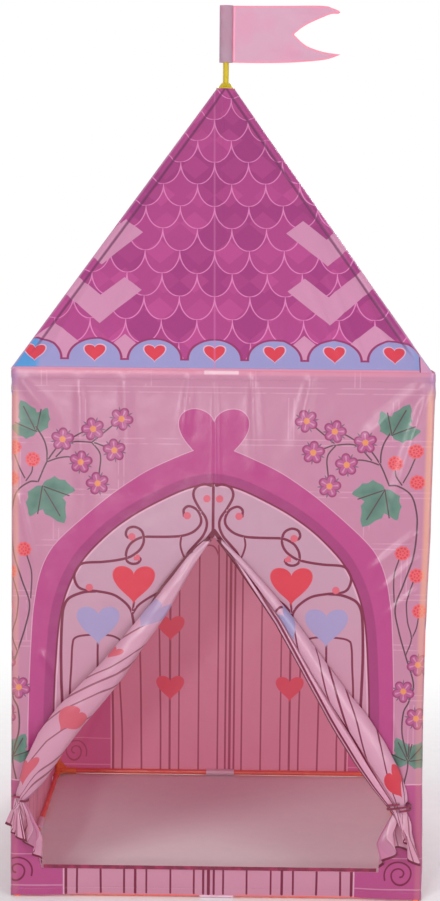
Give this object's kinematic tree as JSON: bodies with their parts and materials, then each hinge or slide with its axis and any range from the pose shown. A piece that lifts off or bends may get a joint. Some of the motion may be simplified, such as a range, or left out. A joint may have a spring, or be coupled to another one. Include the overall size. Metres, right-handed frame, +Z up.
{
  "type": "kids play tent",
  "caption": "Square castle play tent for indoors: tube frame in moulded joints, printed cloth walls, pointed roof with a turning flag, and a front door with flaps tied back.",
  "frame": {"origin": "on the ground, in the middle of the base square", "axes": "+Z up, door faces -Y, +X to the right of someone who looks at the door"},
  "size_m": [0.7032, 0.713, 1.5348],
  "materials": {
    "tube": "smooth coral red",
    "base_joint": "moulded orange",
    "eave_joint": "moulded blue",
    "hub": "moulded yellow",
    "coupler": "moulded pale pink white",
    "roof_cloth": "printed polyester",
    "wall_cloth": "printed polyester",
    "flap_cloth": "printed polyester",
    "binding": "woven binding tape",
    "tie_cord": "woven cord",
    "flag_cloth": "pale pink polyester"
  },
  "bodies": {
    "tent": {"base_joint_front_left": "base_joint", "eave_joint_front_left": "eave_joint", "upright_front_left_lower": "tube", "hip_tube_front_left_lower": "tube", "upright_front_left_upper": "tube", "hip_tube_front_left_upper": "tube", "base_joint_front_right": "base_joint", "eave_joint_front_right": "eave_joint", "upright_front_right_lower": "tube", "hip_tube_front_right_lower": "tube", "upright_front_right_upper": "tube", "hip_tube_front_right_upper": "tube", "base_joint_back_right": "base_joint", "eave_joint_back_right": "eave_joint", "upright_back_right_lower": "tube", "hip_tube_back_right_lower": "tube", "upright_back_right_upper": "tube", "hip_tube_back_right_upper": "tube", "base_joint_back_left": "base_joint", "eave_joint_back_left": "eave_joint", "upright_back_left_lower": "tube", "hip_tube_back_left_lower": "tube", "upright_back_left_upper": "tube", "hip_tube_back_left_upper": "tube", "base_coupler_front": "coupler", "base_tube_front_1": "tube", "eave_tube_front_1": "tube", "base_tube_front_2": "tube", "eave_tube_front_2": "tube", "roof_panel_front": "roof_cloth", "wall_front": "wall_cloth", "base_coupler_right": "coupler", "base_tube_right_1": "tube", "eave_tube_right_1": "tube", "base_tube_right_2": "tube", "eave_tube_right_2": "tube", "roof_panel_right": "roof_cloth", "wall_right": "wall_cloth", "base_coupler_back": "coupler", "base_tube_back_1": "tube", "eave_tube_back_1": "tube", "base_tube_back_2": "tube", "eave_tube_back_2": "tube", "roof_panel_back": "roof_cloth", "wall_back": "wall_cloth", "base_coupler_left": "coupler", "base_tube_left_1": "tube", "eave_tube_left_1": "tube", "base_tube_left_2": "tube", "eave_tube_left_2": "tube", "roof_panel_left": "roof_cloth", "wall_left": "wall_cloth", "roof_hub": "hub", "sill_binding": "binding"},
    "flap_left": {"door_flap_left": "flap_cloth", "tie_cord_left": "tie_cord"},
    "flap_right": {"door_flap_right": "flap_cloth", "tie_cord_right": "tie_cord"},
    "flag": {"flag": "flag_cloth"}
  },
  "joints": [
    {"name": "flap_left_swing", "type": "hinge", "parent": "tent", "child": "flap_left", "pos_m": [0, -0.348, 0.617], "axis": [0, -1, 0], "range_deg": [0, 28]},
    {"name": "flap_right_swing", "type": "hinge", "parent": "tent", "child": "flap_right", "pos_m": [0, -0.348, 0.617], "axis": [0, 1, 0], "range_deg": [0, 26]},
    {"name": "flag_turn", "type": "hinge", "parent": "tent", "child": "flag", "pos_m": [0, 0, 1.5], "axis": [0, 0, 1], "continuous": true}
  ]
}
